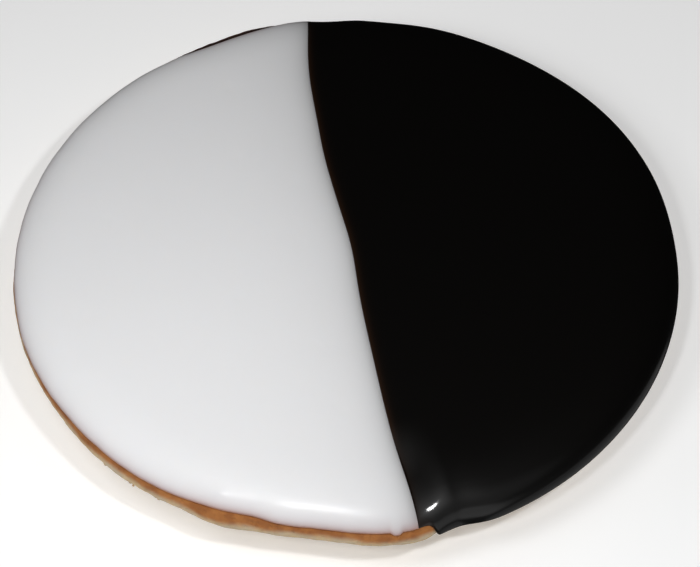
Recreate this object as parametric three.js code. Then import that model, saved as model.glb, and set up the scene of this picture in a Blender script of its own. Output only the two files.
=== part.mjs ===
import * as THREE from "three";

// A black and white cookie: a round of soft cake that was baked flat side down and then turned over,
// so its domed side rests below and its flat side carries two icings that meet along a seam.
// The white icing stops just over the shoulder of the cake, and the dark icing runs on down the side.
//
// Lengths are millimetres and angles degrees. +Z is up, +Y runs along the seam and +X points to the
// dark half. The origin is on the resting surface, under the middle of the cookie's box.

// The cake.
const RADIUS = 57.5; // to the belly, its widest ring
const BELLY_HEIGHT = 8.6;
const SHOULDER_RISE = 4.8; // from the belly to the flat of the top
const CROWN = 1.6; // how far the top's middle stands above its edge
const SHOULDER_POWER = 16; // 2 is an ellipse, more is a tighter shoulder
const REST_RADIUS = 22; // the flat spot that it stands on
const UNDERSIDE_POWER = 1.7; // 1 is a cone, 2 is an ellipse
const ROUND_CENTRE = new THREE.Vector3(-0.7, 0.25, 0); // the dark side overhangs more than the white

// The relief of the bare crust: waves that run so many times round the cake, and so many times for
// each millimetre down it.
const CRUST_WAVES = [
  { round: 11, down: 0.056, height: 0.09, phase: 0 },
  { round: 17, down: -0.095, height: 0.09, phase: 1.3 },
  { round: 29, down: 0.175, height: 0.055, phase: 0.7 },
  { round: 23, down: -0.143, height: 0.055, phase: 2.1 },
];
const CRUST_CLEARANCE = 1.5; // between an icing's edge and the start of the relief
const CRUST_FADE = 3; // the relief grows to its full height over this reach
const REST_FADE = 10; // and dies away over this reach, up to the rest spot
const DARK_MARGIN = [-0.08, 0.02]; // where the side turns from bare to dark, by the angle's cosine

// The icings. A reach is measured over the cake's surface, from the middle of its top.
const ICING = 2; // thickness on the top
const LIP = 0.45; // thickness at the rim
const SEAM_LIP = 1.3; // thickness at the seam
const SEAM_ROUND = 2.6; // width of the rounding along the seam
const TOP_REACH = 57;
const SKIRT_START = 56; // where an icing that runs down the side begins to thin
const SKIRT_FULL = 61;
const GAP = 0.34; // between one piece and the next
const EDGE_HOLD = 12; // keeps the unevenness of an icing's edge near that edge

const WHITE = {
  name: "white_icing",
  side: -1,
  reach: 57.3,
  skirt: ICING,
  edgeRound: 8,
  edge: [
    { at: -134, by: 0.35, spread: 9 },
    { at: -121, by: -0.75, spread: 7 },
    { at: -93, by: 1.3, spread: 1.6 },
    { at: 102, by: -0.9, spread: 16 },
    { at: 170, by: 0.3, spread: 20 },
  ],
};
const DARK = {
  name: "black_icing",
  side: 1,
  reach: 62,
  skirt: 0.9,
  edgeRound: 1.8,
  edge: [
    { at: -89.2, by: -4.3, spread: 2.4 },
    { at: -60, by: -0.5, spread: 8 },
    { at: -28, by: 0.5, spread: 10 },
    { at: 20, by: -0.6, spread: 12 },
    { at: 62, by: 0.4, spread: 9 },
  ],
};

// How the outline strays from a circle, by the angle from +X.
const OUTLINE = [
  { at: -122, by: 0.6, spread: 6 },
  { at: -112, by: -0.6, spread: 6 },
  { at: -91, by: 1.45, spread: 7.5 },
  { at: -81, by: -0.8, spread: 4.5 },
  { at: 79, by: 0.5, spread: 14 },
  { at: 98, by: -0.3, spread: 9 },
];
const OUTLINE_HOLD = 4; // keeps the outline's swells away from the middle

// How the seam strays from a straight line, by y.
const SEAM_OFFSET = 0.1;
const SEAM = [
  { at: -60, by: 1.6, spread: 12 },
  { at: -3, by: 0.65, spread: 9 },
  { at: 19, by: -0.3, spread: 8 },
  { at: 60, by: 3.1, spread: 15 },
];

// How finely the solids are divided.
const SECTION_DIVISIONS = 4000;
const CAKE_SIDES = 90;
const CAKE_BANDS = [
  { to: 50, steps: 5 }, // the top
  { to: 64, steps: 13 }, // the shoulder and side
  { to: 76, steps: 5 }, // the turn of the underside
];
const LAST_BAND_STEPS = 4; // on to the rest spot
const ICING_SIDES = 78;
const ARC_SHARE = 0.6; // share of an icing's outline that is rim, the rest being seam
const ARC_CROWDING = 0.6; // crowds the rim's divisions towards the seam, from 0 to 1
const SEAM_CROWDING = 0.9; // crowds the seam's divisions towards the rim
const ICING_RINGS = [0.2, 0.42, 0.62, 0.75, 0.82, 0.87, 0.905, 0.93, 0.95, 0.963, 0.976, 0.989, 1];
const PATCH_CENTRE = 25; // the rings of an icing close in on this distance from the seam

const CAKE_LOOK = { color: 0x9a6636, roughness: 0.85, metalness: 0 };
const WHITE_LOOK = { color: 0xeeeef0, roughness: 0.3, metalness: 0 };
const DARK_LOOK = { color: 0x0d0b09, roughness: 0.12, metalness: 0 };

const { clamp, degToRad, euclideanModulo, lerp, radToDeg, smoothstep } = THREE.MathUtils;

// The sum of smooth swells and dips, each at its own place along a line.
function swells(list, place) {
  return list.reduce((sum, { at, by, spread }) => sum + by * Math.exp(-(((place - at) / spread) ** 2)), 0);
}

// The same around a circle, with the place in degrees.
function swellsAround(list, angle) {
  const turnTo = (at) => euclideanModulo(at - angle + 180, 360) - 180;
  return swells(list.map((swell) => ({ ...swell, at: turnTo(swell.at) })), 0);
}

// Half of the cake's section, from the middle of the top to the edge of the rest spot.
class CakeSection extends THREE.Curve {
  getPoint(t, point = new THREE.Vector2()) {
    return t < 0.5 ? this.top(Math.PI * t, point) : this.underside(Math.PI * (t - 0.5), point);
  }

  top(turn, point) {
    const out = Math.sin(turn);
    const shoulder = SHOULDER_RISE * Math.sqrt(1 - out ** SHOULDER_POWER);
    return point.set(RADIUS * out, BELLY_HEIGHT + shoulder + CROWN * (1 - out ** 2));
  }

  underside(turn, point) {
    const out = Math.cos(turn) ** (2 / UNDERSIDE_POWER);
    const drop = Math.sin(turn) ** (2 / UNDERSIDE_POWER);
    return point.set(REST_RADIUS + (RADIUS - REST_RADIUS) * out, BELLY_HEIGHT * (1 - drop));
  }
}

const section = new CakeSection();
section.arcLengthDivisions = SECTION_DIVISIONS;
const SECTION_LENGTH = section.getLength();

// A point of the cake's surface, from its reach, its angle and its height off the surface.
function overCake(reach, angle, lift) {
  const along = Math.min(reach / SECTION_LENGTH, 1);
  const point = section.getPointAt(along);
  const tangent = section.getTangentAt(along);
  const swell = swellsAround(OUTLINE, angle) * (point.x / RADIUS) ** OUTLINE_HOLD;
  const radius = point.x + swell - tangent.y * lift;
  const turn = degToRad(angle);
  return new THREE.Vector3(radius * Math.cos(turn), radius * Math.sin(turn), point.y + tangent.x * lift);
}

// The crust's relief, from just below the icing's edge to the rest spot.
function crustRelief(reach, angle) {
  const turn = degToRad(angle);
  const underDark = smoothstep(Math.cos(turn), ...DARK_MARGIN);
  const start = lerp(WHITE.reach, DARK.reach, underDark) + CRUST_CLEARANCE;
  const bare = smoothstep(reach, start, start + CRUST_FADE);
  const rest = smoothstep(reach, SECTION_LENGTH - REST_FADE, SECTION_LENGTH);
  const wave = ({ round, down, height, phase }) =>
    height * Math.sin(round * turn + 2 * Math.PI * down * reach + phase);
  return CRUST_WAVES.reduce((sum, each) => sum + wave(each), 0) * bare * (1 - rest);
}

// A mesh from a turned profile. Each vertex is put in its place by its distance from the axis, its
// share of the way round and its level.
function turned(profile, sides, place, name, look) {
  const geometry = new THREE.LatheGeometry(profile, sides);
  const position = geometry.attributes.position;
  for (let i = 0; i < position.count; i += 1) {
    const side = Math.floor(i / profile.length);
    const { x: out, y: level } = profile[i % profile.length];
    const spot = place(out, (side % sides) / sides, level);
    position.setXYZ(i, spot.x, spot.y, spot.z);
  }
  geometry.deleteAttribute("uv");
  geometry.computeVertexNormals();
  const mesh = new THREE.Mesh(geometry, new THREE.MeshStandardMaterial(look));
  mesh.name = name;
  return mesh;
}

// The reaches of the cake's rings, from the middle of the top to the edge of the rest spot.
function cakeReaches() {
  const reaches = [0];
  for (const { to, steps } of [...CAKE_BANDS, { to: SECTION_LENGTH, steps: LAST_BAND_STEPS }]) {
    const from = reaches.at(-1);
    for (let step = 1; step <= steps; step += 1) {
      reaches.push(lerp(from, to, step / steps));
    }
  }
  return reaches;
}

// The cake's profile holds its reaches, at level 1, and the middle of the rest spot, at level 0.
function makeCake() {
  const shell = cakeReaches().reverse();
  const profile = [new THREE.Vector2(0, 0), ...shell.map((reach) => new THREE.Vector2(reach, 1))];
  const place = (reach, share, level) => {
    const angle = 360 * share;
    return level === 0 ? new THREE.Vector3() : overCake(reach, angle, crustRelief(reach, angle));
  };
  return turned(profile, CAKE_SIDES, place, "cake", CAKE_LOOK);
}

// Even steps from 0 to 1, crowded towards both ends.
function crowded(t, amount) {
  return t - (amount * Math.sin(2 * Math.PI * t)) / (2 * Math.PI);
}

// The outline of one icing, laid out flat: along the rim, then back along the seam.
function icingOutline(icing, share) {
  if (share < ARC_SHARE) {
    const angle = Math.PI * (crowded(share / ARC_SHARE, ARC_CROWDING) - 0.5);
    return new THREE.Vector2(Math.cos(angle), Math.sin(angle)).multiplyScalar(icing.side * TOP_REACH);
  }
  const along = crowded((share - ARC_SHARE) / (1 - ARC_SHARE), SEAM_CROWDING);
  return new THREE.Vector2(0, icing.side * lerp(TOP_REACH, -TOP_REACH, along));
}

// A quarter round, from 0 at an edge to 1 at the given distance from it.
function quarterRound(distance, width) {
  const left = 1 - clamp(distance / width, 0, 1);
  return Math.sqrt(1 - left ** 2);
}

function icingThickness(icing, reach, toEdge, toSeam) {
  const full = lerp(ICING, icing.skirt, smoothstep(reach, SKIRT_START, SKIRT_FULL));
  const atRim = lerp(LIP, full, quarterRound(toEdge, icing.edgeRound));
  return atRim * lerp(SEAM_LIP / ICING, 1, quarterRound(toSeam, SEAM_ROUND));
}

// A point of an icing: out runs from 0 in its middle to 1 at its outline, and level from 0 at its
// underside to 1 at its top. The flat half round is shifted to the seam's line, which leaves the rim
// in its place, and the last of its reach is stretched to the icing's own uneven edge.
function overIcing(icing, out, share, level) {
  const centre = new THREE.Vector2(icing.side * PATCH_CENTRE, 0);
  const flat = centre.lerp(icingOutline(icing, share), out);
  const toSeam = Math.abs(flat.x);
  const rim = flat.length() / TOP_REACH;
  const shift = (SEAM_OFFSET + swells(SEAM, flat.y)) * (1 - toSeam / TOP_REACH);
  const moved = new THREE.Vector2(flat.x + shift + (icing.side * GAP) / 2, flat.y);
  const angle = radToDeg(Math.atan2(moved.y, moved.x));
  const run = lerp(moved.length(), rim * TOP_REACH, rim ** EDGE_HOLD);
  const end = icing.reach + swellsAround(icing.edge, angle);
  const reach = run + (end - TOP_REACH) * rim ** EDGE_HOLD;
  const thickness = icingThickness(icing, reach, end - reach, toSeam);
  return overCake(reach, angle, GAP + level * thickness);
}

function makeIcing(icing, look) {
  const rings = [0, ...ICING_RINGS];
  const underside = rings.map((out) => new THREE.Vector2(out, 0));
  const top = rings.map((out) => new THREE.Vector2(out, 1)).reverse();
  const place = (out, share, level) => overIcing(icing, out, share, level);
  return turned([...underside, ...top], ICING_SIDES, place, icing.name, look);
}

const cookie = new THREE.Group();
cookie.add(makeCake(), makeIcing(WHITE, WHITE_LOOK), makeIcing(DARK, DARK_LOOK));
cookie.position.copy(ROUND_CENTRE);

export default cookie;
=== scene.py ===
"""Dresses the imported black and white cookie: its cake, its two icings, its crumbs and its studio.

Sizes are millimetres and angles degrees unless a name says otherwise, and a mesh gets its
metres last. A reach is measured over the cake's surface, from the middle of its top.
"""

import logging
import math
from collections.abc import Sequence
from dataclasses import dataclass, field
from enum import Enum

import bmesh
import bpy
import numpy as np
from mathutils import Matrix, Quaternion, Vector, noise


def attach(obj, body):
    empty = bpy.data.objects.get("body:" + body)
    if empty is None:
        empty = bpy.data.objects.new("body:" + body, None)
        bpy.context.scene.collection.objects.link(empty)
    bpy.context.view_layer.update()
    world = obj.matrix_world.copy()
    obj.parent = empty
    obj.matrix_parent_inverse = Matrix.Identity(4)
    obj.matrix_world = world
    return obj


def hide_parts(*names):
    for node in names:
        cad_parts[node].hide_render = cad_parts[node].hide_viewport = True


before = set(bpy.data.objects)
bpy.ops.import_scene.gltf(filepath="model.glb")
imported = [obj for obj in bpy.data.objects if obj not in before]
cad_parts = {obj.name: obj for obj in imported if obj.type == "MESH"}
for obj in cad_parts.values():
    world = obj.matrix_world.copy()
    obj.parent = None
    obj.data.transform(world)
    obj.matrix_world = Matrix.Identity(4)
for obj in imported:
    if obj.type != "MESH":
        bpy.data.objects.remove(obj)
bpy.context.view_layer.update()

MM = 0.001
BODY = "root"
ROUND_CENTRE = (-0.7, 0.25, 0.0)  # the middle of the round cake, in the frame
SEED = 11
NOISE_STEP = (17.3, -9.1, 5.7)  # how far one seed's noise is read from the next one's
MERGE = 0.0001  # vertices nearer than this are one

log = logging.getLogger("cookie")

Array = np.ndarray
Colour = tuple[float, float, float, float]
Value = float | Sequence[float] | bpy.types.NodeSocket

FULL_WHITE: Colour = (1, 1, 1, 1)


class Trait(Enum):
    """What a vertex remembers for its material to read: millimetres, or the share of painted shade
    below the icing's edge on the far side.
    """

    TO_SEAM = "to_seam"
    TO_EDGE = "to_edge"
    BELOW_ICING = "below_icing"
    PAINTED_FAR_SHADE = "painted_far_shade"


class Side(Enum):
    """The side of the seam that an icing covers."""

    WHITE = -1
    DARK = 1


def lerp(low: Array | float, high: Array | float, share: Array | float) -> Array:
    """Steps from low to high by a share of the way."""
    return low + (high - low) * share


def smoothstep(value: Array, low: float, high: float) -> Array:
    """Rises smoothly from 0 at low to 1 at high."""
    t = np.clip((value - low) / (high - low), 0, 1)
    return t * t * (3 - 2 * t)


def quarter_round(distance: Array, width: float) -> Array:
    """Rises as a quarter circle, from 0 at an edge to 1 at a width from it."""
    left = 1 - np.clip(distance / width, 0, 1)
    return np.sqrt(1 - left**2)


def crowded(t: Array, amount: float) -> Array:
    """Crowds even steps from 0 to 1 towards both ends."""
    return t - amount * np.sin(2 * np.pi * t) / (2 * np.pi)


def direction(azimuth: float, elevation: float) -> Vector:
    """The unit vector at an azimuth from +X and an elevation."""
    across, up = math.radians(azimuth), math.radians(elevation)
    return Vector((math.cos(across) * math.cos(up), math.sin(across) * math.cos(up), math.sin(up)))


@dataclass(frozen=True)
class Ripples:
    """Smooth uneven ripples over a surface or along an edge.

    Every octave after the first adds ripples of half the length and half the height.
    """

    height: float
    length: float
    seed: int
    octaves: int = 1

    def over(self, points: Array) -> Array:
        """Their height at each point.

        Args:
            points: Rows of x, y, z in millimetres.

        Returns:
            A value for each row, from about minus the height to the height.
        """
        offset = Vector([self.seed * step for step in NOISE_STEP])
        total = np.zeros(len(points))
        for octave in range(self.octaves):
            scale = 2**octave / self.length
            layer = [noise.noise(Vector(point) * scale + offset) for point in points]
            total += np.array(layer) / 2**octave
        return self.height * total


@dataclass(frozen=True)
class Swell:
    """A smooth swell, or a dip where it is negative, at a place along a line."""

    at: float
    by: float
    spread: float
    flatness: float = 2  # 2 is a bell, more is a flatter top with steeper ends

    def over(self, gap: Array) -> Array:
        """Its height at a gap from its middle."""
        return self.by * np.exp(-(np.abs(gap / self.spread) ** self.flatness))


def along_line(swells: Sequence[Swell], place: Array) -> Array:
    """The sum of the swells at each place of a line."""
    return sum((swell.over(place - swell.at) for swell in swells), np.zeros_like(place))


def round_circle(swells: Sequence[Swell], angle: Array) -> Array:
    """The sum of the swells at each angle of a circle.

    Args:
        swells: The swells, placed by their angles.
        angle: The angles in degrees.

    Returns:
        The sum for each angle.
    """
    total = np.zeros_like(angle)
    for swell in swells:
        total += swell.over((angle - swell.at + 180) % 360 - 180)
    return total


@dataclass
class CakeSection:
    """Half of the cake's section, from the middle of its top to the edge of its rest spot."""

    radius: float = 57.5  # to the belly, its widest ring
    belly_height: float = 8.6
    shoulder_rise: float = 4.8  # from the belly to the flat of the top
    crown: float = 1.6  # how far the top's middle stands above its edge
    shoulder_power: float = 16  # 2 is an ellipse, more is a tighter shoulder
    rest_radius: float = 22  # the flat spot that it stands on
    underside_power: float = 1.7  # 1 is a cone, 2 is an ellipse
    divisions: int = 6000
    outline_hold: float = 9  # keeps the outline's swells away from the middle
    outline: tuple[Swell, ...] = (
        Swell(-158, -0.37, 14),
        Swell(-120, 1.19, 5.7),
        Swell(-116, -1.15, 11.6),
        Swell(-110.6, 0.42, 3.5),
        Swell(-96.1, 0.21, 3.5),
        Swell(-89.1, 1.38, 8.7),
        Swell(-81.8, -1.53, 4.2),
        Swell(-65, 0.25, 37),
        Swell(-7, -0.31, 10),
        Swell(48, -0.96, 19),
        Swell(72, -0.92, 7.7),
        Swell(80.5, -0.79, 6.2),
        Swell(93, 1.15, 10.5),
        Swell(99, 1.52, 18),
        Swell(112, 0.39, 3.6),
        Swell(133, 0.89, 45),
    )
    out: Array = field(init=False, repr=False)
    height: Array = field(init=False, repr=False)
    reach: Array = field(init=False, repr=False)

    def __post_init__(self) -> None:
        """Traces the section as a fine line and measures the reach along it."""
        turn = np.linspace(0, np.pi / 2, self.divisions)
        across = np.sin(turn)
        top = self.belly_height + self.crown * (1 - across**2)
        top += self.shoulder_rise * np.sqrt(1 - np.minimum(across, 1) ** self.shoulder_power)
        inward = np.cos(turn[1:]).clip(0) ** (2 / self.underside_power)
        drop = np.sin(turn[1:]) ** (2 / self.underside_power)
        under = self.rest_radius + (self.radius - self.rest_radius) * inward
        self.out = np.concatenate([self.radius * across, under])
        self.height = np.concatenate([top, self.belly_height * (1 - drop)])
        steps = np.hypot(np.diff(self.out), np.diff(self.height))
        self.reach = np.concatenate([[0], np.cumsum(steps)])

    @property
    def length(self) -> float:
        """The reach of the rest spot's edge."""
        return float(self.reach[-1])

    def over(self, reach: Array, angle: Array, lift: Array) -> Array:
        """Points above the cake's surface.

        Args:
            reach: How far each one lies from the middle of the top.
            angle: Its angle from +X.
            lift: Its height off the surface.

        Returns:
            Rows of x, y, z in millimetres.
        """
        middle = (self.reach[1:] + self.reach[:-1]) / 2
        step = np.diff(self.reach)
        outward = np.interp(reach, middle, np.diff(self.out) / step)
        upward = np.interp(reach, middle, np.diff(self.height) / step)
        out = np.interp(reach, self.reach, self.out)
        height = np.interp(reach, self.reach, self.height)
        swell = round_circle(self.outline, angle) * (out / self.radius) ** self.outline_hold
        radius = out + swell - upward * lift
        turn = np.radians(angle)
        columns = [radius * np.cos(turn), radius * np.sin(turn), height + outward * lift]
        return np.stack(columns, axis=1)


class Blank:
    """A flat grid, rolled up into a closed skin when its vertices are put in their places."""

    def __init__(self, profile: Sequence[tuple[float, float]], sides: int) -> None:
        """Lays out the grid.

        Args:
            profile: The distance from the middle and the level of each ring, between two poles.
            sides: How many steps it takes to go once round.
        """
        self.mesh = bmesh.new()
        steps = len(profile) - 1
        bmesh.ops.create_grid(self.mesh, x_segments=steps, y_segments=sides, size=1)
        grid = np.array([vertex.co for vertex in self.mesh.verts]) / 2 + 0.5
        rings = np.array(profile)[np.rint(grid[:, 0] * steps).astype(int)]
        self.share = grid[:, 1]
        self.out, self.level = rings[:, 0], rings[:, 1]

    def finish(self, name: str, points: Array, traits: dict[Trait, Array]) -> bpy.types.Object:
        """Puts the vertices in place, closes the skin and makes the object.

        Args:
            name: The object's name.
            points: The place of each vertex, in millimetres round the cookie's own middle.
            traits: What each vertex remembers.

        Returns:
            The object, at the origin.
        """
        verts = self.mesh.verts
        for trait, values in traits.items():
            layer = verts.layers.float.new(trait.value)
            for vertex, value in zip(verts, values):
                vertex[layer] = value
        for vertex, point in zip(verts, (points + np.array(ROUND_CENTRE)) * MM):
            vertex.co = point
        bmesh.ops.remove_doubles(self.mesh, verts=verts, dist=MERGE * MM)
        bmesh.ops.recalc_face_normals(self.mesh, faces=self.mesh.faces)
        return as_object(name, self.mesh)


def as_object(name: str, mesh: bmesh.types.BMesh) -> bpy.types.Object:
    """Makes a smooth-shaded object of a bmesh, and frees it.

    Args:
        name: The object's name.
        mesh: The bmesh, in metres.

    Returns:
        The object, linked to the scene.
    """
    data = bpy.data.meshes.new(name)
    for face in mesh.faces:
        face.smooth = True
    mesh.to_mesh(data)
    mesh.free()
    made = bpy.data.objects.new(name, data)
    bpy.context.scene.collection.objects.link(made)
    return made


@dataclass(frozen=True)
class Grain:
    """A noise in a finish: how many millimetres long its features are, and its detail."""

    length: float
    detail: float = 2.0


class Wiring:
    """Short ways to add nodes to a tree."""

    def __init__(self, tree: bpy.types.NodeTree) -> None:
        """Takes the tree that the nodes go in."""
        self.tree = tree

    def fill(self, node: bpy.types.Node, inputs: dict[str | int, Value]) -> None:
        """Links or sets a node's inputs.

        Args:
            node: The node.
            inputs: A socket or a constant for each input's name or place.
        """
        for key, value in inputs.items():
            if isinstance(value, bpy.types.NodeSocket):
                self.tree.links.new(value, node.inputs[key])
            else:
                node.inputs[key].default_value = value

    def add(
        self, kind: str, inputs: dict[str | int, Value], output: str | int = 0, **options: str
    ) -> bpy.types.NodeSocket:
        """Adds a node.

        Args:
            kind: The node's type.
            inputs: What its inputs are set or linked to.
            output: The output to return.
            **options: Its own options, such as its operation.

        Returns:
            The output's socket.
        """
        node = self.tree.nodes.new(kind)
        for option, value in options.items():
            setattr(node, option, value)
        self.fill(node, inputs)
        return node.outputs[output]

    def maths(self, operation: str, first: Value, second: Value) -> bpy.types.NodeSocket:
        """One step of arithmetic."""
        return self.add("ShaderNodeMath", {0: first, 1: second}, operation=operation)

    def between(self, value: Value, low: float, high: float) -> bpy.types.NodeSocket:
        """Rises smoothly from 0 at low to 1 at high."""
        inputs = {"Value": value, "From Min": low, "From Max": high}
        return self.add("ShaderNodeMapRange", inputs, interpolation_type="SMOOTHSTEP")


class Shade(Wiring):
    """A material under construction."""

    def __init__(self, name: str) -> None:
        """Starts a material that has only its Principled shader.

        Args:
            name: The material's name.
        """
        self.material = bpy.data.materials.new(name)
        self.material.use_nodes = True
        super().__init__(self.material.node_tree)
        self.surface = self.tree.nodes["Principled BSDF"]

    def place(self) -> bpy.types.NodeSocket:
        """The shaded point, in the object's own metres."""
        return self.add("ShaderNodeTexCoord", {}, "Object")

    def height(self) -> bpy.types.NodeSocket:
        """The shaded point's height above the floor, in millimetres."""
        split = self.add("ShaderNodeSeparateXYZ", {0: self.place()}, "Z")
        return self.maths("MULTIPLY", split, 1 / MM)

    def trait(self, trait: Trait) -> bpy.types.NodeSocket:
        """What the mesh remembers at the shaded point."""
        return self.add("ShaderNodeAttribute", {}, "Fac", attribute_name=trait.value)

    def fade(self, distance: Value, length: float, depth: float) -> bpy.types.NodeSocket:
        """Falls from a depth at 0 to nothing, by a factor of e for each length."""
        power = self.maths("POWER", math.e, self.maths("DIVIDE", distance, -length))
        return self.maths("MULTIPLY", power, depth)

    def blend(self, share: Value, first: Value, second: Value) -> bpy.types.NodeSocket:
        """Mixes two colours."""
        inputs = {"Factor": share, 6: first, 7: second}
        return self.add("ShaderNodeMix", inputs, 2, data_type="RGBA")

    def grain(self, grain: Grain) -> bpy.types.NodeSocket:
        """The noise of a grain, from 0 to 1."""
        inputs = {"Vector": self.place(), "Scale": 1 / (grain.length * MM), "Detail": grain.detail}
        return self.add("ShaderNodeTexNoise", inputs)

    def pores(self, length: float) -> bpy.types.NodeSocket:
        """The distance to the nearest of many scattered pores, in their own lengths."""
        inputs = {"Vector": self.place(), "Scale": 1 / (length * MM)}
        return self.add("ShaderNodeTexVoronoi", inputs)

    def bump(
        self, height: Value, depth: float, normal: bpy.types.NodeSocket | None = None
    ) -> bpy.types.NodeSocket:
        """Turns the normal as if a height were a relief.

        Args:
            height: The height, as a share of the depth.
            depth: The relief's depth in millimetres.
            normal: The normal that it starts from, where it isn't the surface's own.

        Returns:
            The turned normal.
        """
        inputs: dict[str | int, Value] = {"Height": height, "Distance": depth * MM}
        if normal is not None:
            inputs["Normal"] = normal
        return self.add("ShaderNodeBump", inputs)


@dataclass(frozen=True)
class Scatter:
    """How light spreads below a surface.

    It has the share of the light that does, and how many lengths each of its colours goes.
    """

    share: float
    colours: tuple[float, float, float]
    length: float

    def inputs(self) -> dict[str | int, Value]:
        """What it sets on a Principled shader.

        Returns:
            The value of each of the shader's inputs.
        """
        return {
            "Subsurface Weight": self.share,
            "Subsurface Radius": self.colours,
            "Subsurface Scale": self.length * MM,
        }


@dataclass(frozen=True)
class WhiteIcingFinish:
    """White sugar icing: satin, with painted shade that darkens it near the seam, and darker and
    lilac towards the rim, partly thin icing and partly painted shade.

    A fade is a length over which it falls by a factor of e, and its depth at the edge.
    """

    colour: Colour = (0.865, 0.865, 0.875, 1)
    # darker lilac towards the rim's edge: partly thin icing over the cake, partly painted shade
    # where the rim turns down
    thin_colour: Colour = (0.46, 0.34, 0.37, 1)
    lip_colour: Colour = (0.48, 0.23, 0.14, 1)
    roughness: float = 0.3
    # painted shade: darkens the white near the seam; each pair is a length and a depth
    seam_shade_fades: tuple[tuple[float, float], ...] = ((1.4, 0.38), (8.0, 0.18))
    rim_thin_and_shade_fade: tuple[float, float] = (0.85, 1.0)
    lip_fade: tuple[float, float] = (0.38, 1.0)
    scatter: Scatter = Scatter(0.15, (1.0, 0.9, 0.8), 1.5)
    grain: Grain = Grain(1.2)
    grain_depth: float = 0.01

    def material(self) -> bpy.types.Material:
        """Builds the material.

        Returns:
            The finished material.
        """
        shade = Shade("white_icing")
        to_seam = shade.trait(Trait.TO_SEAM)
        # paints shade into the white's colour near the seam
        painted_seam_shade: Value = 1.0
        for length, depth in self.seam_shade_fades:
            painted_seam_shade = shade.maths("SUBTRACT", painted_seam_shade, shade.fade(to_seam, length, depth))
        painted_seam_shade = shade.add("ShaderNodeCombineColor", {0: painted_seam_shade, 1: painted_seam_shade, 2: painted_seam_shade})
        inputs = {"Factor": 1.0, 6: self.colour, 7: painted_seam_shade}
        seam_shaded = shade.add("ShaderNodeMix", inputs, 2, data_type="RGBA", blend_type="MULTIPLY")
        to_edge = shade.trait(Trait.TO_EDGE)
        # towards the rim: partly thin icing over the cake, partly painted shade of the rim turning
        # down
        thin = shade.blend(shade.fade(to_edge, *self.rim_thin_and_shade_fade), seam_shaded, self.thin_colour)
        worn = shade.blend(shade.fade(to_edge, *self.lip_fade), thin, self.lip_colour)
        shade.fill(
            shade.surface,
            {
                "Base Color": worn,
                "Roughness": self.roughness,
                "Normal": shade.bump(shade.grain(self.grain), self.grain_depth),
                **self.scatter.inputs(),
            },
        )
        return shade.material


@dataclass(frozen=True)
class DarkIcingFinish:
    """Near-black chocolate icing: a clear gloss over a softer one, brown where it thins."""

    colour: Colour = (0.0016, 0.0013, 0.0011, 1)
    thin_colour: Colour = (0.020, 0.008, 0.003, 1)
    roughness: float = 0.5
    gloss: float = 1.0
    gloss_roughness: float = 0.09
    gloss_index: float = 1.5
    thin_fade: tuple[float, float] = (0.5, 1.0)  # its length and its depth
    grain: Grain = Grain(1.5)
    grain_depth: float = 0.004

    def material(self) -> bpy.types.Material:
        """Builds the material.

        Returns:
            The finished material.
        """
        shade = Shade("black_icing")
        near_seam = shade.fade(shade.trait(Trait.TO_SEAM), *self.thin_fade)
        near_edge = shade.fade(shade.trait(Trait.TO_EDGE), *self.thin_fade)
        thin = shade.maths("MAXIMUM", near_seam, near_edge)
        shade.fill(
            shade.surface,
            {
                "Base Color": shade.blend(thin, self.colour, self.thin_colour),
                "Roughness": self.roughness,
                "Coat Weight": self.gloss,
                "Coat Roughness": self.gloss_roughness,
                "Coat IOR": self.gloss_index,
                "Normal": shade.bump(shade.grain(self.grain), self.grain_depth),
            },
        )
        return shade.material


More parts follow.
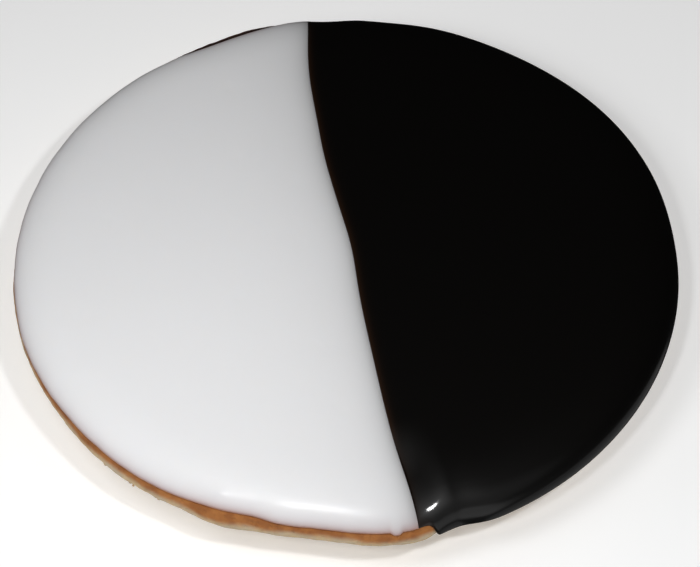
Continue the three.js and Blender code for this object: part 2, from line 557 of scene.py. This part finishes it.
@dataclass(frozen=True)
class CrustFinish:
    """Baked cake: orange-brown below the icing, pale tan lower down, mottled and porous, with
    painted shade below the icing's edge: a darker line all round, partly moist crust, and
    near-black on the far side.
    """

    brown: Colour = (0.42, 0.17, 0.05, 1)
    dark_brown: Colour = (0.31, 0.115, 0.035, 1)
    tan: Colour = (0.60, 0.45, 0.27, 1)
    pale: Colour = (0.56, 0.45, 0.31, 1)
    # darker red-brown just below the icing's edge: partly moist crust, partly painted shade under
    # the icing's lip
    moist_and_shade_brown: Colour = (0.20, 0.055, 0.02, 1)
    # painted shade: near-black for the far side's band just below the icing
    painted_shade_brown: Colour = (0.030, 0.012, 0.009, 1)
    turn_heights: tuple[float, float] = (8.7, 10.0)  # where tan turns to brown
    turn_grain: Grain = Grain(6, 3)
    turn_wander: float = 1.8  # how much the turn's height varies
    brown_grain: Grain = Grain(2.2, 4)
    brown_range: tuple[float, float] = (0.35, 0.65)
    tan_grain: Grain = Grain(3.5, 4)
    tan_range: tuple[float, float] = (0.4, 0.6)
    moist_and_shade_fade: tuple[float, float] = (0.4, 0.15)  # its length and its depth
    crumb: Grain = Grain(0.8, 4)
    crumb_depth: float = 0.25
    pore: float = 1.1
    pore_range: tuple[float, float] = (0.0, 0.35)
    pore_depth: float = 0.12
    roughness: float = 0.8
    specular: float = 0.3
    scatter: Scatter = Scatter(0.1, (1.0, 0.5, 0.25), 1.0)

    def material(self) -> bpy.types.Material:
        """Builds the material.

        Returns:
            The finished material.
        """
        shade = Shade("cake")
        uneven = shade.maths("SUBTRACT", shade.grain(self.turn_grain), 0.5)
        wander = shade.maths("MULTIPLY", uneven, self.turn_wander)
        level = shade.maths("ADD", shade.height(), wander)
        browned = shade.between(level, *self.turn_heights)
        mottle = shade.between(shade.grain(self.brown_grain), *self.brown_range)
        upper = shade.blend(mottle, self.brown, self.dark_brown)
        patches = shade.between(shade.grain(self.tan_grain), *self.tan_range)
        lower = shade.blend(patches, self.tan, self.pale)
        # darkens the crust just below the icing: partly moist crust, partly painted shade
        at_rim = shade.fade(shade.trait(Trait.BELOW_ICING), *self.moist_and_shade_fade)
        crust = shade.blend(at_rim, shade.blend(browned, lower, upper), self.moist_and_shade_brown)
        # paints the far side's shade just below the icing's edge
        crust = shade.blend(shade.trait(Trait.PAINTED_FAR_SHADE), crust, self.painted_shade_brown)
        crumb = shade.bump(shade.grain(self.crumb), self.crumb_depth)
        holes = shade.between(shade.pores(self.pore), *self.pore_range)
        shade.fill(
            shade.surface,
            {
                "Base Color": crust,
                "Roughness": self.roughness,
                "Specular IOR Level": self.specular,
                "Normal": shade.bump(holes, self.pore_depth, crumb),
                **self.scatter.inputs(),
            },
        )
        return shade.material


@dataclass(frozen=True)
class ThinCorner:
    """Where an icing thins smoothly towards the seam, near one end of it."""

    depth: float
    width: float
    span: tuple[float, float]

    def thin(self, share: Array, to_seam: Array, along: Array) -> Array:
        """Changes the share of the full thickness at each place.

        Args:
            share: The share that is left elsewhere along the seam.
            to_seam: The distance from the seam.
            along: How far along the seam the place is, from its middle.

        Returns:
            The new share.
        """
        thinned = 1 - self.depth * (1 - smoothstep(to_seam, 0, self.width))
        return lerp(thinned, share, smoothstep(along, *self.span))


@dataclass(frozen=True)
class Dimple:
    """A small round dimple in an icing, or a bump where its depth is negative."""

    x: float
    y: float
    depth: float = 0.12
    size: float = 0.8

    def over(self, flat: Array) -> Array:
        """How deep it is at each place of the flat icing."""
        gap = np.hypot(flat[:, 0] - self.x, flat[:, 1] - self.y)
        return self.depth * np.exp(-((gap / self.size) ** 2))


@dataclass
class Icing:
    """One icing: a skin over its half of the cake, which meets the other along the seam."""

    name: str
    side: Side
    reach: float
    skirt: float
    edge_round: float
    edge: tuple[Swell, ...]
    finish: WhiteIcingFinish | DarkIcingFinish
    dimples: tuple[Dimple, ...] = ()
    corners: tuple[ThinCorner, ...] = ()
    drips: tuple[Swell, ...] = ()
    drip_rise: tuple[float, float] = (0.0, 2.0)
    full: float = 2.0  # thickness on the top
    lip: float = 0.3  # thickness at the rim
    seam_lip: float = 1.75  # thickness at the seam
    seam_round: float = 1.2  # width of the rounding along the seam
    top_reach: float = 57
    skirt_start: float = 56  # where an icing that runs down the side begins to thin
    skirt_full: float = 61
    edge_hold: float = 12  # keeps the unevenness of an icing's edge near that edge
    gap: float = 0.03
    ragged: Ripples = Ripples(0.14, 5, seed=3, octaves=2)
    uneven: Ripples = Ripples(0.05, 16, seed=5)
    calm: float = 4  # the top's unevenness grows to its full height over this reach
    seam_offset: float = 0.4
    seam: tuple[Swell, ...] = (
        Swell(-60, 1.6, 12),
        Swell(-3, 0.65, 9),
        Swell(19, -0.3, 8),
        Swell(60, 3.1, 15),
    )
    patch_centre: float = 25  # how far the grid's middle lies from the seam
    arc_share: float = 0.6  # the rim's part of the outline's steps
    rim_crowding: float = 0.6
    seam_crowding: float = 0.9
    sides: int = 480
    inner_rings: int = 56
    outer_rings: int = 34
    under_rings: int = 14
    outer_start: float = 0.9

    def profile(self) -> list[tuple[float, float]]:
        """Lays out the rings: out over the underside, then back over the top.

        Returns:
            The distance from the middle and the level of each ring.
        """
        under = np.linspace(0, 1, self.under_rings + 1)
        inner = np.linspace(0, self.outer_start, self.inner_rings, endpoint=False)
        left = np.linspace(1, 0, self.outer_rings + 1) ** 2
        top = np.concatenate([inner, 1 - (1 - self.outer_start) * left])
        return [(out, 0.0) for out in under] + [(out, 1.0) for out in top[::-1]]

    def outline(self, share: Array) -> Array:
        """The icing's outline laid out flat: along the rim, then back along the seam.

        Args:
            share: How far along the outline each place is, from 0 to 1.

        Returns:
            Rows of x, y in millimetres.
        """
        rim = np.pi * (crowded(share / self.arc_share, self.rim_crowding) - 0.5)
        back = crowded((share - self.arc_share) / (1 - self.arc_share), self.seam_crowding)
        on_rim = share < self.arc_share
        across = np.where(on_rim, np.cos(rim), 0.0)
        along = np.where(on_rim, np.sin(rim), lerp(1, -1, back))
        return np.stack([across, along], axis=1) * self.side.value * self.top_reach

    def end(self, angle: Array) -> Array:
        """The reach at which the icing ends at each angle, but for its raggedness."""
        return self.reach + round_circle(self.edge + self.drips, angle)

    def thickness(self, reach: Array, to_edge: Array, to_seam: Array, along: Array) -> Array:
        """How thick the icing is at each place.

        Args:
            reach: Its reach.
            to_edge: Its distance from the icing's edge.
            to_seam: Its distance from the seam.
            along: How far along the seam it is, from the seam's middle.

        Returns:
            The thickness, which is less where the icing thins towards the seam's ends.
        """
        full = lerp(self.full, self.skirt, smoothstep(reach, self.skirt_start, self.skirt_full))
        at_rim = lerp(self.lip, full, quarter_round(to_edge, self.edge_round))
        at_seam = lerp(self.seam_lip / self.full, 1, quarter_round(to_seam, self.seam_round))
        for corner in self.corners:
            at_seam = corner.thin(at_seam, to_seam, along)
        return at_rim * at_seam

    def build(self, section: CakeSection) -> bpy.types.Object:
        """Makes the icing over the cake.

        Args:
            section: The section of the cake that it covers.

        Returns:
            The finished object.
        """
        blank = Blank(self.profile(), self.sides)
        out, share, level = blank.out, blank.share, blank.level
        centre = np.array([self.side.value * self.patch_centre, 0.0])
        flat = lerp(centre, self.outline(share), out[:, None])
        to_seam = np.abs(flat[:, 0])
        rim = np.hypot(flat[:, 0], flat[:, 1]) / self.top_reach
        bow = self.seam_offset + along_line(self.seam, flat[:, 1])
        across = flat[:, 0] + bow * (1 - to_seam / self.top_reach)
        across += self.side.value * self.gap / 2
        angle = np.degrees(np.arctan2(flat[:, 1], across))
        held = rim**self.edge_hold
        run = lerp(np.hypot(across, flat[:, 1]), rim * self.top_reach, held)
        unit = np.stack([np.cos(np.radians(angle)), np.sin(np.radians(angle)), 0 * angle], axis=1)
        end = self.end(angle) + self.ragged.over(unit * self.reach)
        reach = run + (end - self.top_reach) * held
        to_edge = end - reach
        hang = round_circle(self.drips, angle) * smoothstep(to_edge, *self.drip_rise)
        thick = self.thickness(reach, to_edge - hang, to_seam, flat[:, 1])
        spread = np.stack([across, flat[:, 1], 0 * across], axis=1)
        thick += self.uneven.over(spread) * smoothstep(to_seam, 0, self.calm)
        thick -= sum(dimple.over(spread) for dimple in self.dimples)
        points = section.over(reach, angle, self.gap + level * thick)
        traits = {Trait.TO_SEAM: to_seam, Trait.TO_EDGE: to_edge}
        made = blank.finish(f"{self.name}_skin", points, traits)
        made.data.materials.append(self.finish.material())
        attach(made, BODY)
        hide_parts(self.name)
        return made


@dataclass
class Cake:
    """The soft round of cake, with the relief of its bare crust."""

    section: CakeSection
    icings: tuple[Icing, Icing]
    finish: CrustFinish
    name: str = "cake"
    sides: int = 720
    bands: tuple[tuple[float, int], ...] = ((50, 8), (56, 6), (78, 44))  # ends and their rings
    last_steps: int = 18
    clearance: float = 0.6  # between an icing's edge and the start of the relief
    rise: float = 2.0  # the relief grows to its full height over this reach
    rest_fade: tuple[float, float] = (18, 5)  # and dies away between these, before the rest spot
    waves: Ripples = Ripples(0.14, 7, seed=1, octaves=2)
    crumb: Ripples = Ripples(0.10, 1.6, seed=2, octaves=2)
    bits: Ripples = Ripples(0.18, 3.2, seed=7, octaves=2)
    bits_reach: tuple[float, float] = (63, 67)  # where the ragged bits lower down set in
    bulge: tuple[Swell, ...] = (Swell(107.7, 0.2, 13.8),)
    # painted shade: the crust just below the icing's edge goes near-black round the far side, by
    # these swells, and fades out over the band below the icing
    painted_far_shade: tuple[Swell, ...] = (Swell(102, 1, 26, flatness=4),)
    painted_shade_band: tuple[float, float] = (1.5, 4.5)

    def profile(self) -> list[tuple[float, float]]:
        """Lays out the rings: over the rest spot, then up the side and over the top.

        Returns:
            The radius or the reach of each ring, and its level: 0 on the rest spot, 1 off it.
        """
        reaches = [0.0]
        for end, steps in [*self.bands, (self.section.length, self.last_steps)]:
            reaches += np.linspace(reaches[-1], end, steps + 1)[1:].tolist()
        spot = [(0.0, 0.0), (self.section.rest_radius / 2, 0.0)]
        return spot + [(reach, 1.0) for reach in reversed(reaches)]

    def icing_end(self, angle: Array) -> Array:
        """The reach at which the icing ends at each angle."""
        white, dark = (icing.end(angle) for icing in self.icings)
        return np.where(np.cos(np.radians(angle)) > 0, dark, white)

    def relief(self, points: Array, reach: Array, angle: Array) -> Array:
        """The height of the bare crust's relief.

        Args:
            points: The places on the smooth cake, as rows of x, y, z in millimetres.
            reach: The reach of each place.
            angle: Its angle from +X.

        Returns:
            The height of the waves, the crumb, the ragged bits and the bulge together.
        """
        start = self.icing_end(angle) + self.clearance
        bare = np.clip((reach - start) / self.rise, 0, 1)
        rest = smoothstep(reach, *(self.section.length - left for left in self.rest_fade))
        bits = np.maximum(self.bits.over(points), 0) * smoothstep(reach, *self.bits_reach)
        bulge = round_circle(self.bulge, angle)
        relief = self.waves.over(points) + self.crumb.over(points) + bits + bulge
        return relief * bare * (1 - rest)

    def build(self) -> bpy.types.Object:
        """Makes the cake.

        Returns:
            The finished object.
        """
        blank = Blank(self.profile(), self.sides)
        reach, level = blank.out, blank.level
        angle = 360 * blank.share - 180
        smooth = self.section.over(reach, angle, np.zeros_like(reach))
        lift = self.relief(smooth, reach, angle)
        points = self.section.over(reach, angle, lift)
        spot = level < 0.5
        turn = np.radians(angle)
        rest = np.stack([reach * np.cos(turn), reach * np.sin(turn), 0 * reach], axis=1)
        points = np.where(spot[:, None], rest, points)
        below = np.maximum(reach - self.icing_end(angle), 0)
        # paints shade into the crust just below the icing's edge on the far side
        painted_far_shade = round_circle(self.painted_far_shade, angle) * (1 - smoothstep(below, *self.painted_shade_band))
        traits = {Trait.BELOW_ICING: below, Trait.PAINTED_FAR_SHADE: painted_far_shade}
        made = blank.finish(f"{self.name}_skin", points, traits)
        made.data.materials.append(self.finish.material())
        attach(made, BODY)
        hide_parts(self.name)
        return made


@dataclass
class Crumbs:
    """Loose bits that cling to the bare side of the cake, mostly low down."""

    cake: Cake
    count: int = 170
    span: tuple[float, float] = (88, 272)  # the bare side's angles
    reaches: tuple[float, float, float] = (60, 68, 74)  # the least, the commonest and the most
    lift: float = 0.1
    sizes: tuple[float, float] = (0.15, 0.5)
    stretch: tuple[float, float] = (0.6, 1.3)
    lump: float = 0.35  # how lumpy one is, as a share of its size
    lump_scale: float = 1.4
    noise_span: float = 50  # how far apart the crumbs' lumps are read from one noise

    def build(self) -> bpy.types.Object:
        """Makes the crumbs as one mesh.

        Returns:
            The finished object.
        """
        rng = np.random.default_rng(SEED)
        angles = rng.uniform(*self.span, self.count)
        reaches = rng.triangular(*self.reaches, self.count)
        spots = self.cake.section.over(reaches, angles, np.full(self.count, self.lift))
        mesh = bmesh.new()
        for spot in spots:
            size = rng.uniform(*self.sizes)
            turn = Quaternion(rng.normal(size=4)).normalized().to_matrix().to_4x4()
            shape = Matrix.Diagonal((*rng.uniform(*self.stretch, 3), 1))
            place = Matrix.Translation((Vector(spot) + Vector(ROUND_CENTRE)) * MM)
            grow = Matrix.Scale(size * MM, 4)
            ball = bmesh.ops.create_icosphere(
                mesh, subdivisions=2, radius=1, matrix=place @ turn @ grow @ shape
            )
            offset = Vector(rng.uniform(-self.noise_span, self.noise_span, 3))
            middle = place.translation
            for vertex in ball["verts"]:
                arm = vertex.co - middle
                lump = noise.noise(arm / (size * MM) * self.lump_scale + offset)
                vertex.co = middle + arm * (1 + self.lump * lump)
        made = as_object("crumbs", mesh)
        made.data.materials.append(self.cake.finish.material())
        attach(made, BODY)
        return made


@dataclass(frozen=True)
class Lamp:
    """A soft lamp, aimed at the cookie."""

    name: str
    azimuth: float
    elevation: float
    distance: float
    size: tuple[float, float]
    power: float
    shows_in_gloss: bool = True

    def build(self, aim: Vector) -> None:
        """Makes the lamp.

        Args:
            aim: The point that it faces, in metres.
        """
        light = bpy.data.lights.new(self.name, "AREA")
        light.shape = "ELLIPSE"
        light.size, light.size_y = (length * MM for length in self.size)
        light.energy = self.power
        made = bpy.data.objects.new(self.name, light)
        back = direction(self.azimuth, self.elevation)
        made.location = aim + back * self.distance * MM
        made.rotation_mode = "QUATERNION"
        made.rotation_quaternion = back.to_track_quat("Z", "Y")
        made.visible_camera = False
        made.visible_glossy = self.shows_in_gloss
        bpy.context.scene.collection.objects.link(made)


@dataclass(frozen=True)
class Glow:
    """A soft patch of the surroundings that only gloss shows.

    Its edge is two cosines of the angle from its middle: where it starts, and where it is full.
    """

    azimuth: float
    elevation: float
    strength: float
    edge: tuple[float, float]


@dataclass
class Studio:
    """The pale floor, the lamps and the camera."""

    floor_colour: Colour = (0.8, 0.8, 0.8, 1)
    floor_roughness: float = 0.9
    floor_specular: float = 0.1
    floor_glow: float = 0.3
    floor_span: float = 3000
    dim_glow: float = 0.003  # what gloss shows of the surroundings between the glows
    glows: tuple[Glow, ...] = (
        Glow(-12, -52, 0.11, (0.87, 0.92)),
        Glow(-82, -22, 0.36, (0.85, 0.97)),
        Glow(-80, 30, 0.12, (0.7, 0.95)),
    )
    camera_place: tuple[float, float, float] = (-37.33, -244.72, 306.30)
    camera_aim: tuple[float, float, float] = (-0.72, -7.13, 12.0)
    camera_roll: float = -1.816
    lens: float = 113.13
    sensor: float = 36
    clip: tuple[float, float] = (10, 20000)
    lamp_aim: tuple[float, float, float] = (0, 0, 12)
    lamps: tuple[Lamp, ...] = (
        Lamp("left", -116.6, 51.5, 375, (33, 58), 0.31),
        Lamp("right", -62.8, 57.5, 380, (30, 30), 0.40, shows_in_gloss=False),
        Lamp("near", -135, 55, 170, (60, 60), 0.077, shows_in_gloss=False),
        Lamp("side", -173, 25, 350, (150, 150), 0.125, shows_in_gloss=False),
        Lamp("fill", 60, 70, 900, (900, 900), 1.2, shows_in_gloss=False),
    )

    def build(self) -> None:
        """Makes the stage round the cookie."""
        aim = Vector(self.lamp_aim) * MM
        for lamp in self.lamps:
            lamp.build(aim)
        self.floor()
        self.world()
        self.camera()

    def floor(self) -> None:
        """Lays the pale floor."""
        mesh = bmesh.new()
        bmesh.ops.create_grid(mesh, x_segments=1, y_segments=1, size=self.floor_span * MM / 2)
        floor = as_object("floor", mesh)
        shade = Shade("floor")
        shade.fill(
            shade.surface,
            {
                "Base Color": self.floor_colour,
                "Roughness": self.floor_roughness,
                "Specular IOR Level": self.floor_specular,
                "Emission Color": FULL_WHITE,
                "Emission Strength": self.floor_glow,
            },
        )
        floor.data.materials.append(shade.material)
        floor.visible_glossy = False

    def world(self) -> None:
        """Dims the surroundings, but for the glows that the dark icing mirrors."""
        world = bpy.data.worlds.new("studio")
        world.use_nodes = True
        wiring = Wiring(world.node_tree)
        way = wiring.add("ShaderNodeTexCoord", {}, "Generated")
        strength: Value = self.dim_glow
        for glow in self.glows:
            inputs = {0: way, 1: direction(glow.azimuth, glow.elevation)}
            near = wiring.add("ShaderNodeVectorMath", inputs, "Value", operation="DOT_PRODUCT")
            level = wiring.maths("MULTIPLY", wiring.between(near, *glow.edge), glow.strength)
            strength = wiring.maths("ADD", level, strength)
        in_gloss = wiring.add("ShaderNodeLightPath", {}, "Is Glossy Ray")
        strength = wiring.maths("MULTIPLY", strength, in_gloss)
        background = world.node_tree.nodes["Background"]
        wiring.fill(background, {"Strength": strength, "Color": FULL_WHITE})
        bpy.context.scene.world = world

    def camera(self) -> None:
        """Sets the camera at the photograph's angle."""
        lens = bpy.data.cameras.new("camera")
        lens.lens = self.lens
        lens.sensor_width = self.sensor
        made = bpy.data.objects.new("camera", lens)
        place, aim = Vector(self.camera_place) * MM, Vector(self.camera_aim) * MM
        made.location = place
        made.rotation_mode = "QUATERNION"
        level = (aim - place).to_track_quat("-Z", "Y")
        roll = Quaternion((0, 0, 1), math.radians(self.camera_roll))
        made.rotation_quaternion = level @ roll
        lens.clip_start, lens.clip_end = (length * MM for length in self.clip)
        bpy.context.scene.collection.objects.link(made)
        bpy.context.scene.camera = made
        bpy.context.scene.view_settings.view_transform = "Standard"


WHITE_EDGE = (
    Swell(-165, 0.45, 13),
    Swell(-119.5, -0.7, 6),
    Swell(102.5, -2.6, 14.5, flatness=3),
)
WHITE_DRIPS = (Swell(-91.6, 0.45, 0.8, flatness=4),)
WHITE_DIMPLES = (
    Dimple(-14.3, 39),
    Dimple(-15.4, 21.2),
    Dimple(-39.4, 11.5),
    Dimple(-46.6, -8.3),
    Dimple(-8.7, -23),
    Dimple(-6.8, -36),
    Dimple(-27.9, -46.9, depth=-0.16, size=1.0),
)
DARK_EDGE = (
    Swell(-89.3, -4.92, 4.4, flatness=8),
    Swell(-60, -0.5, 8),
    Swell(-28, 0.5, 10),
    Swell(20, -0.6, 12),
    Swell(62, 0.4, 9),
)
DARK_CORNERS = (ThinCorner(0.85, 6.55, (-50, -40)), ThinCorner(0.6, 11, (54, 44)))


def report(made: bpy.types.Object) -> None:
    """Logs a piece's name and its number of triangles."""
    triangles = sum(len(face.vertices) - 2 for face in made.data.polygons)
    log.info("%s: %d triangles", made.name, triangles)


def icings() -> tuple[Icing, Icing]:
    """Sets out the two icings.

    Returns:
        The white one and the dark one.
    """
    white = Icing(
        "white_icing",
        Side.WHITE,
        reach=57.55,
        skirt=2.0,
        lip=0.1,
        edge_round=8,
        edge=WHITE_EDGE,
        drips=WHITE_DRIPS,
        dimples=WHITE_DIMPLES,
        finish=WhiteIcingFinish(),
    )
    dark = Icing(
        "black_icing",
        Side.DARK,
        reach=62.4,
        skirt=0.9,
        edge_round=1.8,
        edge=DARK_EDGE,
        finish=DarkIcingFinish(),
        corners=DARK_CORNERS,
    )
    return white, dark


def main() -> None:
    """Builds the pieces in order, then the studio."""
    section = CakeSection()
    white, dark = icings()
    cake = Cake(section, (white, dark), CrustFinish())
    report(cake.build())
    report(white.build(section))
    report(dark.build(section))
    report(Crumbs(cake).build())
    Studio().build()


if __name__ == "__main__":
    logging.basicConfig(level=logging.INFO, format="%(name)s %(message)s")
    main()
